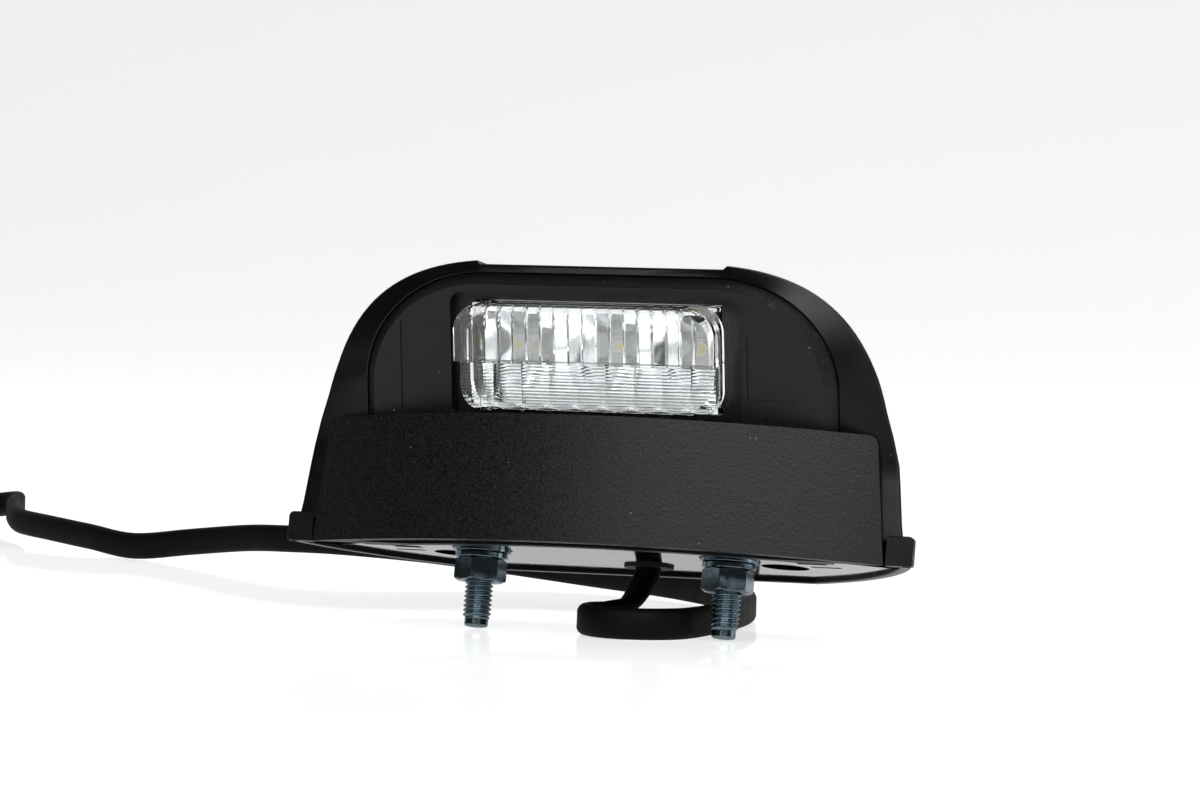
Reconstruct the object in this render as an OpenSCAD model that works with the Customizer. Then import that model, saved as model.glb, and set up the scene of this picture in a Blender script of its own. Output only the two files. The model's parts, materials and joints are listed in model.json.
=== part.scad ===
// Number plate lamp: a black hood and housing on two studs, with an LED light unit
// behind a fluted clear lens and a flat two-core lead.
// Frame: z = 0 is the mounting face, the studs point down, the lens looks along -y.

/* [Fixing] */
// Distance between the two studs
stud_spacing = 45; // [42:0.5:48]
// Thread diameter of the studs
stud_d = 5; // [4:0.1:5.4]
// Length of a stud below the mounting face
stud_out = 13; // [11:0.5:18]
// Width of the nuts and stud heads across their flats
nut_af = 8; // [7.6:0.1:8.4]
// Height of a nut
nut_h = 4; // [3:0.1:5]
// Diameter of the flat washers
washer_d = 10; // [9:0.1:11]
// Thickness of the flat washers
washer_t = 1; // [0.8:0.1:1.4]
// Diameter of the spring washers
spring_d = 9.2; // [8.4:0.1:10]
// Thickness of the spring washers when tightened
spring_t = 1.1; // [0.8:0.1:1.6]

/* [Hood] */
// Width over the skirt of the hood
skirt_w = 113; // [110:0.5:116]
// Height of the skirt
skirt_h = 5.1; // [4.8:0.1:7]
// Wall of the skirt
skirt_wall = 1.8; // [1.6:0.1:2.4]
// Distance from the stud line back to the rear of the skirt
skirt_rear = 27; // [25:0.2:29]
// Radius of the rounded back outline of the skirt
skirt_r = 59.3; // [59:0.1:62]
// Height of the hood at its side shoulders
hood_h = 48.9; // [48:0.1:51]
// Depth of the shallow flat along the top of the hood
top_flat_depth = 0.6; // [0.3:0.1:1]
// Half the width of that flat
top_flat_half = 21.6; // [18:0.2:24]
// Wall of the hood
hood_wall = 2; // [1.6:0.1:2.4]
// Height of the upright back wall of the hood
hood_back_h = 14; // [10:0.5:20]

/* [Housing] */
// Lean of the face towards the lens side, in degrees
face_lean = 17; // [14:0.5:19]
// Distance from the stud line forward to the foot of the face
face_front = 10; // [9:0.1:11]
// Drop from the top of the hood to the top of the front bar
face_drop = 27.3; // [26.4:0.1:28]
// Distance from the stud line forward to the middle of the bar
bar_front = 21; // [20:0.1:23]
// Radius of the bar's bulge
bar_r = 100.6; // [96:0.2:106]
// Half the length of the bar at its foot
bar_half = 51.6; // [50:0.1:52]
// Wall of the housing
housing_wall = 2; // [1.6:0.1:2.4]
// Half the width of the face at its foot
face_half = 40.6; // [40:0.1:41.2]
// Length of the face from its foot to its top
face_len = 23.6; // [23.2:0.1:24]
// Width of the round upper corners of the face
corner_w = 19.6; // [18:0.2:21]
// Height of the round upper corners of the face
corner_h = 17.4; // [16:0.2:18]
// Height by which the face stands out from the front of the hood
face_proud = 2.3; // [1.8:0.1:2.8]

/* [Light unit] */
// Half the width of the lens
lens_half = 23.3; // [22.6:0.1:23.6]
// Height of the lens foot along the face
lens_foot = 3; // [2.6:0.1:3.4]
// Height of the step between the ribbed and the fluted part of the lens
lens_step = 11.4; // [10:0.1:13]
// Height of the lens top along the face
lens_top = 21.5; // [21:0.1:21.8]
// Distance by which the fluted part stands out from the face
flute_proud = 6.2; // [5:0.1:7]
// Distance by which the ribbed part stands out from the face
rib_proud = 3.3; // [2.5:0.1:4.5]
// Distance between the LEDs
led_pitch = 16; // [15:0.1:16.4]
// Width of an LED
led_w = 3.5; // [2.8:0.1:4]
// Thickness of the circuit board
board_t = 1.6; // [1:0.1:2]

/* [Base plate] */
// Distance from the mounting face up into the skirt to the plate
plate_in = 0.6; // [0.4:0.1:1]
// Thickness of the base plate
plate_t = 3; // [2.4:0.1:3.2]
// Diameter of the two screw wells
well_d = 8.4; // [7.6:0.1:9]
// Depth of the screw wells
well_depth = 8; // [6:0.2:10]
// Sideways distance of the screw wells from the middle
well_x = 30; // [28.8:0.1:32]
// Distance of the screw wells behind the stud line
well_y = 8; // [7:0.1:10]

/* [Lead] */
// Width of the flat lead
lead_w = 5.4; // [4.8:0.1:5.6]
// Thickness of the flat lead
lead_t = 2.8; // [2.4:0.1:3]
// Diameter of a core with its insulation
core_d = 1.9; // [1.5:0.05:2.1]

/* [Hidden] */

fit = 0.15;              // clearance between moulded pieces
bore_fit = 0.1;          // radial clearance of a stud or screw in its hole
eps = 0.01;
$fn = 48;

// Back outline: arcs about a centre in front of the stud line
outline_y = -24;
bar_h = hood_h - face_drop;                     // height of the front bar
tab_y = -6.5;                                   // front faces of the skirt and of the hood's legs
plate_top = plate_in + plate_t;
hood_r = skirt_r - skirt_wall + 0.4;
hood_half = skirt_w / 2 - 1.4;                  // hood outline carried down to z = 0
hood_rear = skirt_rear - skirt_wall + 0.4;

// Front of the hood: upright legs, then a rim that leans with the face
rim_y0 = -face_front + face_proud * cos(face_lean);
rim_slope = tan(face_lean);
leg_y = tab_y + 0.1;
rim_z0 = bar_h - (rim_y0 - leg_y) / -rim_slope;
shell_foot = plate_top + fit + 0.45;              // foot of the hood's shell, inside the ledge
leg_low = shell_foot + 0.22 * (rim_z0 - shell_foot);
leg_high = shell_foot + 0.77 * (rim_z0 - shell_foot);
function rim_y(z) = z < rim_z0 ? leg_y : leg_y - (z - rim_z0) * rim_slope;

// Bar: a shell between two arcs about one centre
bar_cy = bar_r - bar_front;
duct_r = bar_r - housing_wall;                  // inner face of the bar's front wall
duct_back_r = duct_r - 4.6;                     // front face of the partition behind the duct
plate_front_r = duct_back_r - housing_wall - fit;

// Planes of the light unit, as depths behind the face
frame_back = face_proud + housing_wall;         // back of the window frame
flange_t = 1.5;
flange_back = frame_back + flange_t;
reflector_t = 5.2;
board_front = flange_back + reflector_t;
board_back = board_front + board_t;
neck_half = lens_half - 1.3;                    // the lens is narrower behind its front
neck_foot = lens_foot - 0.9;
neck_top = lens_top - 0.9;
neck_front = 1.5;
window_half = neck_half + fit;
window_foot = neck_foot - fit;
window_top = neck_top + fit;
recess_half = lens_half + 2.9;
recess_foot = 0.8;
recess_top = lens_top + 0.7;
recess_corner = 2;
seat_in = 0.4;                                  // shallow seat of a flat washer
led_v = (lens_foot + lens_top) / 2;
board_half = 31;
board_screw_x = board_half - 2.8;
board_foot = led_v - 6;
board_top = led_v + 5.5;
boss_d = 5.6;

// Studs and their parts below the plate
stud_x = stud_spacing / 2;
head_h = 3.5;
washer_z = plate_in + seat_in - washer_t;
spring_z = washer_z - spring_t;
nut_z = spring_z - nut_h;
boss_h = head_h + 0.6;
thread_z = nut_z - 0.2;                         // free thread begins below the nut
shank_d = stud_d - 0.6;                         // plain shank above the free thread, as a rolled thread leaves it

// Screw wells
well_top = plate_in + well_depth;
well_wall = 1.5;
screw_d = 3.5;
screw_z = well_top - 2.3;                       // under the head of a plate screw
post_z = well_top + 2 + fit;

// Place where the lead leaves the base plate
exit_x = 3;
exit_y = 15;
exit_z = 0.2;
sheath_in = 9;                                  // length of the sheath above the exit
exit_turn = -30;                                // turn of the lead's width from the x axis
exit_width = [cos(exit_turn), sin(exit_turn), 0];

// Surface under the lamp: it touches the stud ends and rises to the back
floor_tilt = 10;
function floor_z(y) = -stud_out + (y - stud_d / 2 + 0.4) * tan(floor_tilt);

// Route of the lead after it leaves the plate: x, y, height of its middle above the
// surface, turn of its width from level (0) to upright (90)
route = [
    [2.6, 14.3, 8.6, 0], [1, 11.5, 4.6, 20], [-1.6, 7, 3, 55],
    [-2.8, 2.4, 2.8, 80], [-1.6, -2.8, 2.8, 90], [2.2, -6.8, 2.8, 90], [7.2, -8.2, 2.8, 90],
    [12, -6.8, 2.8, 90], [15.3, -3, 2.8, 90], [16.5, 2.4, 2.8, 90], [16.6, 11, 2.8, 90],
    [16, 24, 2.8, 90], [13, 42, 2.8, 90], [6, 60, 2.8, 90], [-5, 76, 2.9, 90],
    [-20, 91, 3.2, 90], [-38, 104, 3.5, 90], [-56, 112, 4.4, 90], [-76, 114, 6, 90],
    [-95, 113, 7, 90], [-108, 115, 7, 90], [-120, 121, 6.4, 90], [-136, 130, 4.6, 90],
    [-152, 137, 2.8, 90], [-166, 145, 3.8, 90], [-181, 156, 4.6, 90], [-193, 167, 5, 90],
    [-200, 177, 5.6, 90], [-206, 188, 6.4, 90], [-210, 199, 7, 90], [-217, 207.4, 6.4, 90],
    [-227, 212.2, 5, 90], [-240, 214, 3.2, 90], [-256, 214.4, 2.8, 90]
];

// Coil of the lead: centre, radius of its inner turn, turns and their spacing
coil_x = -256;
coil_y = 180.7;
coil_r = 26;
coil_turns = 3;
turn_gap = 2.9;
coil_in = coil_r - lead_t / 2;
coil_w = coil_turns * turn_gap + lead_t;

module lens_colour() { color([0.85, 0.9, 0.93, 0.6]) children(); }
module black() { color([0.1, 0.1, 0.11]) children(); }
module zinc() { color([0.62, 0.66, 0.68]) children(); }

// Local frame of the face: x sideways, z up the face, -y out of it
module on_face() { translate([0, -face_front, bar_h]) rotate([face_lean, 0, 0]) children(); }

// Solid standing on the face plane from depth y0 to y1, from an outline in x and z
module slab(y0, y1) { translate([0, y1, 0]) rotate([90, 0, 0]) linear_extrude(y1 - y0) children(); }

for_each_side = [-1, 1];

function bezier(a, b, c, d, t) =
    pow(1 - t, 3) * a + 3 * t * pow(1 - t, 2) * b + 3 * t * t * (1 - t) * c + pow(t, 3) * d;

// Right half of the hood's front outline from its foot to the top flat: x and z
side_foot = [hood_half, 0];
side_knee = [hood_half - 4.5, rim_z0 + 8.7];
shoulder = [top_flat_half + 1.1, hood_h];
dome = concat(
    [side_foot, [hood_half - 0.9, leg_low], [hood_half - 1.7, leg_high], [hood_half - 2.1, rim_z0]],
    [for (t = [0:1 / 9:1]) bezier(side_knee, side_knee + [-3.7, 15.6], shoulder + [15, -1.2], shoulder, t)],
    [[top_flat_half, hood_h]]
);

// Half width of the hood's foot and height of its top, from front (0) to back (1)
function foot_half(y, half, r) = min(half, sqrt(r * r - pow(y - outline_y, 2)));
function top_h(s) = hood_back_h * 0.3 + (hood_h - hood_back_h * 0.3) * pow(1 - pow(0.975 * s, 4), 0.5);

// Foot outline of the skirt, drawn in by a distance
module foot_outline(inset) {
    intersection() {
        translate([0, outline_y]) circle(skirt_r - inset, $fn = 180);
        translate([-skirt_w / 2 + inset, tab_y]) square([skirt_w - 2 * inset, skirt_rear - inset - tab_y]);
    }
}

// Outline of the face, or of the plug around it, with its upper corners as part ellipses
function face_outline(grow, grow_top, foot) = let (n = 14, cw = corner_w + grow, ch = corner_h + grow_top) concat(
    [[-face_half - grow, foot], [face_half + grow, foot]],
    [for (i = [0:n]) let (a = 90 * i / n)
        [face_half - corner_w + cw * cos(a), face_len - corner_h + ch * sin(a)]],
    [for (i = [0:n]) let (a = 90 + 90 * i / n)
        [-face_half + corner_w + cw * cos(a), face_len - corner_h + ch * sin(a)]]
);
plug_side = 1.9;
plug_over = 1.6;
plug_half = face_half + plug_side;

// Opening of the hood around the plug: right half from its foot to its top, on the rim or behind it
opening_x = plug_half + fit;
function opening_half(back) = let (
    d = face_proud * pow(cos(face_lean), 2) + back * cos(face_lean),
    cw = corner_w + plug_side + fit, ch = corner_h + plug_over + fit) concat(
    [for (z = [shell_foot, leg_low, leg_high, rim_z0]) [opening_x, leg_y + back, z]],
    [face_point(opening_x, d, 0.6)],
    [for (a = [0:11.25:90])
        face_point(face_half - corner_w + cw * cos(a), d, face_len - corner_h + ch * sin(a))],
    [face_point(14, d, face_len + plug_over + fit)]
);

// Distance by which the band leans back at its outer edge, from none at the legs to all of it at the shoulder
band_lean = 1.9;
function band_back(z) = band_lean * max(0, min(1, (z - rim_z0) / 14));

// Right half of one station of the hood's outer or inner surface, front (s = 0) to back (s = 1)
function station_half(s, wall, front) = let (
    y_foot = leg_y + s * (hood_rear - leg_y),
    kx = (foot_half(y_foot, hood_half, hood_r) - wall) / hood_half,
    k0 = (hood_h - wall) / hood_h,
    kz = (top_h(s) - wall) / hood_h,
    dip = top_flat_depth * max(0.2, 1 - 2.5 * s), n = len(dome))
    [for (k = [0:n - 1]) [
        dome[k][0] * kx,
        (1 - s) * (rim_y(dome[k][1] * k0) + (wall == 0 ? band_back(dome[k][1]) : front)) + s * (hood_rear - wall),
        k == 0 ? shell_foot : max(shell_foot + 0.6 * k, dome[k][1] * kz - (k == n - 1 ? dip : 0))]];

function both_halves(half) = let (n = len(half)) concat(
    half, [for (k = [n - 1:-1:0]) [-half[k][0], half[k][1], half[k][2]]]);

// Shell as one closed body: outer surface from back to front, opening, inner surface to the back
stations = 14;
channel = hood_wall + 0.5;
module hood_shell() {
    loops = concat(
        [for (i = [stations:-1:0]) both_halves(station_half(i / stations, 0, 0))],
        [both_halves(opening_half(0)), both_halves(opening_half(channel))],
        [for (i = [0:stations]) both_halves(station_half(i / stations, hood_wall, channel))]);
    n = len(dome);
    m = 2 * n;
    last = len(loops) - 1;
    sides = [for (q = [0:last - 1], j = [0:m - 2]) each [
        [q * m + j, (q + 1) * m + j + 1, q * m + j + 1],
        [q * m + j, (q + 1) * m + j, (q + 1) * m + j + 1]]];
    feet = [for (q = [0:stations], j = [0, m - 1]) let (
        a = q * m + j, b = a + m, c = (last - q) * m + j, d = c - m)
        each (j == 0 ? [[a, c, b], [b, c, d]] : [[a, b, c], [b, d, c]])];
    rear = [[0, m - 1, last * m], [m - 1, last * m + m - 1, last * m]];
    caps = [for (j = [0:n - 2]) let (e = last * m) each [
        [j, j + 1, m - 1 - j], [j + 1, m - 2 - j, m - 1 - j],
        [e + j, e + m - 1 - j, e + j + 1], [e + j + 1, e + m - 1 - j, e + m - 2 - j]]];
    polyhedron([for (loop = loops, p = loop) p], concat(sides, feet, rear, caps), convexity = 8);
}

// Depth of the room in the hood's rim behind the bar
rim_room = 0.1;

// Post that takes the screw of the base plate, tied to the side wall by a rib
rib_front = 46;
rib_back = 44.2;
module screw_post(side) {
    difference() {
        union() {
            translate([side * well_x, well_y, post_z]) cylinder(d = 8, h = 13);
            translate([0, well_y, post_z + 3.4]) linear_extrude(5) polygon([
                [side * (well_x + 2), -1.5], [side * rib_front, -1.5], [side * rib_back, 1.5], [side * (well_x + 2), 1.5]]);
        }
        translate([side * well_x, well_y, post_z - 1]) cylinder(d = screw_d - 0.6, h = 12);
    }
}

module hood() {
    black() {
        // Shell with room in its rim for the upper corners of the bar
        difference() {
            hood_shell();
            slab(-60, tab_y - fit + rim_room) bar_front_view(-fit);
        }
        // Skirt with the ledge that the base plate seats under
        difference() {
            linear_extrude(skirt_h) difference() {
                foot_outline(0);
                intersection() {
                    foot_outline(skirt_wall + 2);
                    translate([-skirt_w, tab_y + hood_wall - 0.3]) square([2 * skirt_w, skirt_w]);
                }
                translate([-opening_x - 0.3, -30]) square([2 * opening_x + 0.6, 30 + tab_y + 4]);
            }
            translate([0, 0, -1]) linear_extrude(plate_top + fit + 1) foot_outline(skirt_wall);
        }
        for (side = for_each_side) screw_post(side);
        // Front walls of the skirt beside the bar
        linear_extrude(plate_top + 1) difference() {
            intersection() {
                foot_outline(0);
                translate([-skirt_w, tab_y]) square([2 * skirt_w, 1.2]);
            }
            square([2 * bar_half + 2 * fit, skirt_w], center = true);
        }
    }
}

// Front view of the bar with rounded upper corners
module bar_front_view(inset) {
    top_half = bar_half - 2 - inset;
    corner = 1.6;
    polygon(concat(
        [[-bar_half + inset, -eps], [bar_half - inset, -eps]],
        [for (i = [0:6]) let (a = 15 * i)
            [top_half - corner + corner * cos(a), bar_h - inset - corner + corner * sin(a)]],
        [for (i = [0:6]) let (a = 90 + 15 * i)
            [-top_half + corner + corner * cos(a), bar_h - inset - corner + corner * sin(a)]]
    ));
}

module bar_body(inset, back) {
    intersection() {
        translate([0, bar_cy, -1]) cylinder(r = bar_r - inset, h = bar_h + 2, $fn = 240);
        slab(-60, back) bar_front_view(inset);
    }
}

module housing() {
    black() {
        difference() {
            union() {
                // Bar with its ledge
                difference() {
                    bar_body(0, tab_y - fit);
                    difference() {
                        translate([0, 0, -eps]) bar_body(housing_wall, tab_y - fit - housing_wall);
                        // Partition behind the duct
                        translate([0, bar_cy, -2]) cylinder(r = duct_back_r, h = bar_h, $fn = 240);
                    }
                }
                // Plug that fills the opening of the hood
                translate([0, 0, 0]) on_face() {
                    slab(face_proud, frame_back)
                        polygon(face_outline(plug_side, plug_over, -1));
                    hull() {
                        slab(0, eps) polygon(face_outline(0, 0, -1));
                        slab(face_proud - eps, face_proud)
                            polygon(face_outline(plug_side, plug_over, -1));
                    }
                }
                // Lower walls of the plug behind the bar
                translate([-plug_half, tab_y - fit - housing_wall, 0])
                    cube([2 * plug_half, housing_wall + 2, bar_h]);
                // Bosses for the board screws
                on_face() for (side = for_each_side)
                    translate([side * board_screw_x, board_front, led_v]) rotate([90, 0, 0])
                        cylinder(d = boss_d, h = board_front - frame_back + eps);
            }
            // Chamber behind the partition, open to the base plate
            intersection() {
                translate([0, bar_cy, -1]) cylinder(r = duct_back_r - housing_wall, h = bar_h - 1, $fn = 240);
                translate([-plug_half + housing_wall, -30, -1])
                    cube([2 * (plug_half - housing_wall), 30 + tab_y + 10, bar_h - 1]);
            }
            // Recess around the lens and the window in its floor
            on_face() {
                slab(-0.4, face_proud) polygon(lens_outline(recess_half, recess_foot, recess_top,
                    recess_corner, recess_corner));
                slab(-1, frame_back + 1) polygon([[-window_half, window_foot], [window_half, window_foot],
                    [window_half, window_top], [-window_half, window_top]]);
                // Blank marking pads
                translate([-35.5, -1, 1.6]) cube([8.2, 1.25, 15.3]);
                translate([27.2, -1, 5]) cube([8.6, 1.25, 10.7]);
                for (side = for_each_side)
                    translate([side * board_screw_x, board_front + 1, led_v]) rotate([90, 0, 0])
                        cylinder(d = 1.7, h = 6.4);
            }
            // Room for the edge of the base plate
            translate([0, 0, -1]) linear_extrude(plate_top + fit + 1)
                translate([0, bar_cy]) circle(plate_front_r + fit, $fn = 240);
        }
    }
}

// Outline of the lens with rounded corners at its foot or its top
function lens_outline(half, foot, top, r_foot, r_top) = let (n = 8) concat(
    [for (i = [0:n]) let (a = -180 + 90 * i / n) [-half + r_foot + r_foot * cos(a), foot + r_foot + r_foot * sin(a)]],
    [for (i = [0:n]) let (a = -90 + 90 * i / n) [half - r_foot + r_foot * cos(a), foot + r_foot + r_foot * sin(a)]],
    [for (i = [0:n]) let (a = 90 * i / n) [half - r_top + r_top * cos(a), top - r_top + r_top * sin(a)]],
    [for (i = [0:n]) let (a = 90 + 90 * i / n) [-half + r_top + r_top * cos(a), top - r_top + r_top * sin(a)]]
);

module lens() {
    lens_colour() on_face() {
        slab(frame_back, flange_back) polygon([
            [-neck_half - 1.2, neck_foot - 1], [neck_half + 1.2, neck_foot - 1],
            [neck_half + 1.2, neck_top + 1], [-neck_half - 1.2, neck_top + 1]]);
        slab(-neck_front, frame_back + eps) polygon([
            [-neck_half, neck_foot], [neck_half, neck_foot], [neck_half, neck_top], [-neck_half, neck_top]]);
        slab(-rib_proud, -neck_front + eps) polygon(lens_outline(lens_half, lens_foot, lens_top, 4.4, 4.8));
        slab(-flute_proud, -neck_front + eps) polygon(lens_outline(lens_half, lens_step, lens_top, 0.3, 4.8));
    }
}

// Cup of the reflector, open towards the lens
cup_d = led_pitch - 1.2;
module reflector() {
    color([0.85, 0.86, 0.88]) on_face() difference() {
        slab(flange_back + fit, board_front - eps) polygon([
            [-neck_half - 1, neck_foot], [neck_half + 1, neck_foot],
            [neck_half + 1, neck_top], [-neck_half - 1, neck_top]]);
        for (i = [-1:1]) translate([i * led_pitch, 0, led_v]) {
            translate([0, board_front, 0]) rotate([90, 0, 0])
                cylinder(d1 = led_w + 2.4, d2 = cup_d, h = reflector_t + 1);
            translate([0, board_front + 1, 0]) rotate([90, 0, 0]) cylinder(d = led_w + 2.2, h = 3);
        }
    }
}

pad_x = -8;
pad_gap = 4;
pad_v = led_v - 2;
solder_h = 0.8;
module circuit_board() {
    color([0.1, 0.35, 0.2]) on_face() difference() {
        union() {
            slab(board_front, board_back) polygon([[-board_half, board_foot], [board_half, board_foot],
                [board_half, board_top], [-board_half, board_top]]);
            // Solder joints of the two cores
            for (side = for_each_side) translate([pad_x + side * pad_gap / 2, board_back - eps, pad_v])
                rotate([-90, 0, 0]) cylinder(d = core_d + 1, h = solder_h + eps);
        }
        for (side = for_each_side)
            translate([side * board_screw_x, board_back + 1, led_v]) rotate([90, 0, 0])
                cylinder(d = 2.4, h = board_t + 2);
    }
}

module led(i) {
    color([0.95, 0.9, 0.6]) on_face() translate([i * led_pitch, board_front, led_v]) {
        translate([-led_w / 2, -0.8, -led_w / 2]) cube([led_w, 0.8, led_w]);
        translate([0, -0.8, 0]) rotate([90, 0, 0]) cylinder(d = led_w - 0.6, h = 0.6);
    }
}

// Small parts on the back of the board, placed by x and height on the face
chip_x = 12;
coil_part_x = 2;
capacitor_x = 20;
diode_x = -16;
module on_board(x, v) { on_face() translate([x, board_back, v]) children(); }
module driver_chip() { color([0.15, 0.15, 0.15]) on_board(chip_x, led_v) translate([-2.5, 0, -2]) cube([5, 1.5, 4]); }
module inductor() {
    color([0.25, 0.25, 0.27]) on_board(coil_part_x, led_v) rotate([-90, 0, 0]) union() {
        translate([0, 0, 0.4]) cylinder(d = 5.6, h = 2.6);
        translate([-2.8, -2.8, 0]) cube([5.6, 5.6, 0.6]);
    }
}
module capacitor() { color([0.7, 0.55, 0.35]) on_board(capacitor_x, led_v) translate([-1.6, 0, -1.25]) cube([3.2, 1.6, 2.5]); }
module diode() { color([0.12, 0.12, 0.13]) on_board(diode_x, led_v) translate([-2.1, 0, -1.3]) cube([4.2, 2, 2.6]); }

module board_screw(side) {
    zinc() on_face() translate([side * board_screw_x, board_back, led_v]) rotate([-90, 0, 0]) {
        translate([0, 0, -7]) cylinder(d = 1.7, h = 7);
        difference() {
            cylinder(d = 4, h = 1.5);
            translate([-0.3, -1.5, 0.7]) cube([0.6, 3, 1]);
            translate([-1.5, -0.3, 0.7]) cube([3, 0.6, 1]);
        }
    }
}

module hexagon(af) { circle(d = af / cos(30), $fn = 6); }

neck_x = plug_half + 0.5;                       // half width of the plate's front part
module base_plate() {
    black() difference() {
        union() {
            translate([0, 0, plate_in]) linear_extrude(plate_t) intersection() {
                union() {
                    foot_outline(skirt_wall + fit);
                    translate([-neck_x, tab_y - bar_front]) square([2 * neck_x, bar_front + 1]);
                }
                translate([0, bar_cy]) circle(plate_front_r, $fn = 240);
            }
            for (side = for_each_side) {
                translate([side * well_x, well_y, plate_in]) cylinder(d = well_d + 2 * well_wall, h = well_depth + 2);
                translate([side * stud_x, 0, plate_in]) cylinder(d = nut_af / cos(30) + 3, h = plate_t + boss_h);
            }
            // Wall around the sealing compound
            translate([exit_x, exit_y, plate_in]) cylinder(d = 15, h = plate_t + 5);
        }
        for (side = for_each_side) {
            translate([side * well_x, well_y, plate_in - 1]) cylinder(d = well_d, h = well_depth + 1);
            translate([side * well_x, well_y, plate_in]) cylinder(d = screw_d + 2 * bore_fit, h = well_depth + 4);
            translate([side * stud_x, 0, plate_in - 1]) cylinder(d = stud_d + 2 * bore_fit, h = plate_t + boss_h + 2);
            translate([side * stud_x, 0, plate_in - 1]) cylinder(d = washer_d + 0.6, h = 1 + seat_in);
            translate([side * stud_x, 0, plate_top]) linear_extrude(boss_h + 1) rotate(30) hexagon(nut_af + 2 * bore_fit);
            // Slots beside the studs
            translate([side * 38, 5.7, plate_in - 1]) linear_extrude(plate_t + 2)
                square([5.4, 1.4], center = true);
            translate([side * 36.8, 1, plate_in - 1]) linear_extrude(plate_t + 2)
                square([5.2, 2.4], center = true);
        }
        translate([exit_x, exit_y, plate_top]) cylinder(d = 12, h = 6);
        at_exit(plate_in - 1) linear_extrude(plate_t + 2) grommet_neck();
    }
}

module plate_screw(side) {
    zinc() translate([side * well_x, well_y, 0]) {
        difference() {
            translate([0, 0, screw_z]) cylinder(d = 6.8, h = well_top - screw_z);
            translate([-0.5, -2, screw_z - eps]) cube([1, 4, 1.2]);
            translate([-2, -0.5, screw_z - eps]) cube([4, 1, 1.2]);
        }
        translate([0, 0, well_top - eps]) cylinder(d = screw_d - 0.6, h = 12);
    }
}

module stud(side) {
    zinc() translate([side * stud_x, 0, 0]) {
        translate([0, 0, plate_top]) linear_extrude(head_h) rotate(30) hexagon(nut_af);
        translate([0, 0, thread_z]) cylinder(d = shank_d, h = plate_top - thread_z + eps);
        translate([0, 0, 0.5 - stud_out]) cylinder(d = stud_d, h = thread_z + stud_out - 0.5);
        translate([0, 0, -stud_out]) cylinder(d1 = stud_d - 0.8, d2 = stud_d, h = 0.5);
    }
}

module flat_washer(side) {
    zinc() translate([side * stud_x, 0, washer_z]) difference() {
        cylinder(d = washer_d, h = washer_t);
        translate([0, 0, -1]) cylinder(d = stud_d + 2 * bore_fit, h = washer_t + 2);
    }
}

// Split spring washer with its cut
module spring_washer(side) {
    zinc() translate([side * stud_x, 0, spring_z]) difference() {
        cylinder(d = spring_d, h = spring_t);
        translate([0, 0, -1]) cylinder(d = stud_d + 2 * bore_fit, h = spring_t + 2);
        rotate(200) translate([0, -0.4, -1]) cube([spring_d, 0.8, spring_t + 2]);
    }
}

// Nut with both its corner rings chamfered
module nut(side) {
    zinc() translate([side * stud_x, 0, nut_z]) difference() {
        intersection() {
            linear_extrude(nut_h) rotate(30) hexagon(nut_af);
            union() {
                cylinder(d1 = nut_af * 0.97, d2 = nut_af * 0.97 + 8, h = nut_h / 2);
                translate([0, 0, nut_h / 2]) cylinder(d1 = nut_af * 0.97 + 8, d2 = nut_af * 0.97, h = nut_h / 2);
            }
        }
        translate([0, 0, -1]) cylinder(d = stud_d + 2 * bore_fit, h = nut_h + 2);
    }
}

// Flat section of the lead: two round edges and flat sides
module lead_section(grow) {
    r = lead_t / 2 + grow;
    union() {
        square([lead_w - lead_t, 2 * r], center = true);
        for (side = for_each_side) translate([side * (lead_w - lead_t) / 2, 0]) circle(r);
    }
}
module grommet_neck() { lead_section(1.3); }
module at_exit(z) { translate([exit_x, exit_y, z]) rotate(exit_turn) children(); }

module grommet() {
    color([0.13, 0.13, 0.13]) at_exit(0) difference() {
        union() {
            translate([0, 0, exit_z]) linear_extrude(plate_in - exit_z) lead_section(2.1);
            translate([0, 0, plate_in - eps]) linear_extrude(plate_t + 2 * eps) lead_section(1.3 - bore_fit);
            translate([0, 0, plate_top]) linear_extrude(1.2) lead_section(2.1);
        }
        translate([0, 0, -1]) linear_extrude(plate_top + 4) lead_section(0);
    }
}

module potting() {
    color([0.08, 0.08, 0.09]) at_exit(plate_top) difference() {
        cylinder(d = 12, h = 4.4);
        translate([0, 0, -eps]) linear_extrude(1.2 + 2 * eps) lead_section(2.1);
        translate([0, 0, -1]) linear_extrude(7) lead_section(0);
    }
}

module inner_sheath() {
    color([0.09, 0.09, 0.09]) at_exit(exit_z) linear_extrude(sheath_in) lead_section(0);
}

function unit(v) = v / norm(v);

// Smooth curve through a list of points, with a number of steps to each span
function curve(p, steps) = let (n = len(p)) concat(
    [for (i = [0:n - 2], k = [0:steps - 1]) let (
        t = k / steps, a = p[max(i - 1, 0)], b = p[i], c = p[i + 1], d = p[min(i + 2, n - 1)])
        0.5 * (2 * b + (c - a) * t + (2 * a - 5 * b + 4 * c - d) * t * t + (3 * b - a - 3 * c + d) * t * t * t)],
    [p[n - 1]]
);

// Tube swept along points: section points are (across the width, across the thickness)
module sweep(points, widths, section) {
    n = len(points);
    m = len(section);
    rings = [for (i = [0:n - 1]) let (
        t = unit(points[min(i + 1, n - 1)] - points[max(i - 1, 0)]),
        w = unit(widths[i] - (widths[i] * t) * t),
        q = cross(t, w))
        for (s = section) points[i] + s[0] * w + s[1] * q];
    polyhedron(rings, concat(
        [[for (j = [m - 1:-1:0]) j]],
        [for (i = [0:n - 2], j = [0:m - 1]) let (k = (j + 1) % m)
            [i * m + j, i * m + k, (i + 1) * m + k, (i + 1) * m + j]],
        [[for (j = [0:m - 1]) (n - 1) * m + j]]), convexity = 10);
}

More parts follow.
